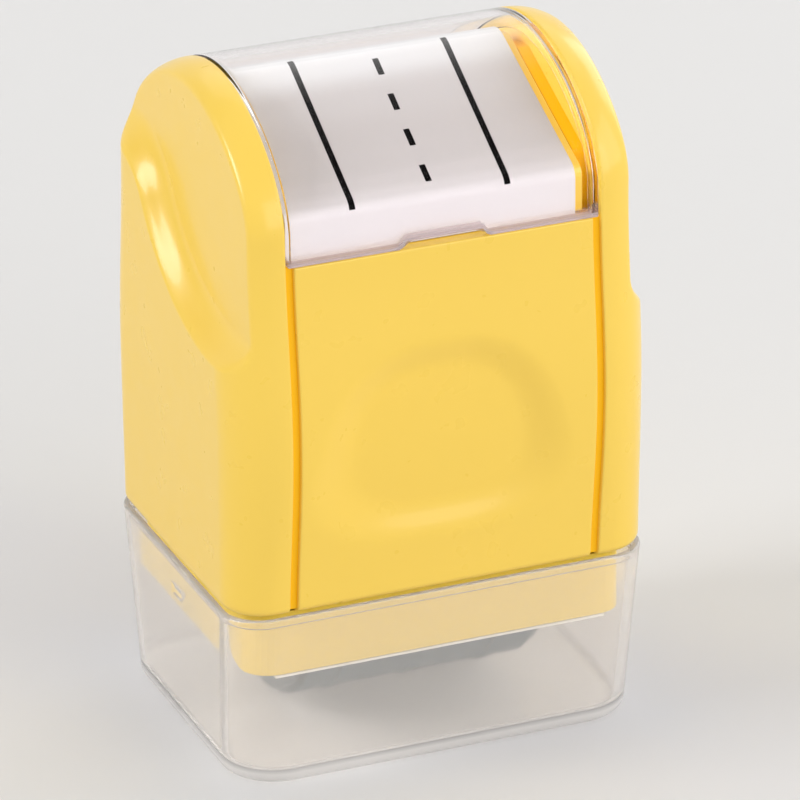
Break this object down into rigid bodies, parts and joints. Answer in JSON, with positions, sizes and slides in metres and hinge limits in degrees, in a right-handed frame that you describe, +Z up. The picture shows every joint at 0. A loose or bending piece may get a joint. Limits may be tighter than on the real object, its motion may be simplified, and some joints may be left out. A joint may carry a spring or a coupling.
{
  "type": "handwriting line roller stamp",
  "caption": "Hand-held roller stamp that rolls handwriting guide lines, with a barrel-shaped case, an arched clear window over its label, and a frosted pull-off cap as its foot.",
  "frame": {"origin": "centre of the protective cap's flat foot, on the surface the stamp stands on", "axes": "+Z up; -Y the front, with the panel and the window's pry notch; X along the roller's axle"},
  "size_m": [0.052, 0.0424, 0.0813],
  "materials": {
    "yellow_plastic": "satin moulded yellow",
    "frosted_plastic": "frosted, see-through",
    "clear_plastic": "clear, polished",
    "label_paper": "white label with black guide lines",
    "print_rubber": "matte grey-blue",
    "grey_plastic": "moulded grey",
    "bearing_plastic": "moulded natural white",
    "ink_felt": "porous, soaked with ink",
    "plug_rubber": "matte black",
    "bright_steel": "bright turned steel"
  },
  "bodies": {
    "casing": {"roller_frame": "yellow_plastic", "left_side_cover": "yellow_plastic", "right_side_cover": "yellow_plastic", "front_panel": "yellow_plastic", "back_panel": "yellow_plastic", "label_deck": "yellow_plastic", "deck_screw_left": "bright_steel", "deck_screw_right": "bright_steel", "axle_bush_left": "bearing_plastic", "axle_bush_right": "bearing_plastic", "ink_reservoir": "grey_plastic", "reservoir_sponge": "ink_felt", "feed_pad": "ink_felt"},
    "cap": {"protective_cap": "frosted_plastic"},
    "roller": {"print_die": "print_rubber", "ink_foam": "ink_felt", "roller_core": "grey_plastic", "roller_flange_left": "grey_plastic", "roller_flange_right": "grey_plastic", "axle": "bright_steel", "axle_clip_left": "bright_steel", "axle_clip_right": "bright_steel"},
    "window": {"window_cover": "clear_plastic"},
    "label": {"label_insert": "label_paper"},
    "plug": {"refill_plug": "plug_rubber"}
  },
  "joints": [
    {"name": "casing_lift", "type": "slide", "parent": "cap", "child": "casing", "axis": [0, 0, 1], "range_m": [0, 0.03]},
    {"name": "roller_spin", "type": "hinge", "parent": "casing", "child": "roller", "pos_m": [0, 0, 0.0172], "axis": [1, 0, 0], "continuous": true},
    {"name": "window_lift", "type": "slide", "parent": "casing", "child": "window", "axis": [0, 0, 1], "range_m": [0, 0.02]},
    {"name": "label_lift", "type": "slide", "parent": "casing", "child": "label", "axis": [0, 0, 1], "range_m": [0, 0.012]},
    {"name": "plug_pull", "type": "slide", "parent": "casing", "child": "plug", "axis": [0, 0, 1], "range_m": [0, 0.005]}
  ],
  "couplings": [
    {"joint": "label_lift", "follows": "window_lift", "ratio": 0.6},
    {"joint": "plug_pull", "follows": "window_lift", "ratio": 0.25}
  ]
}
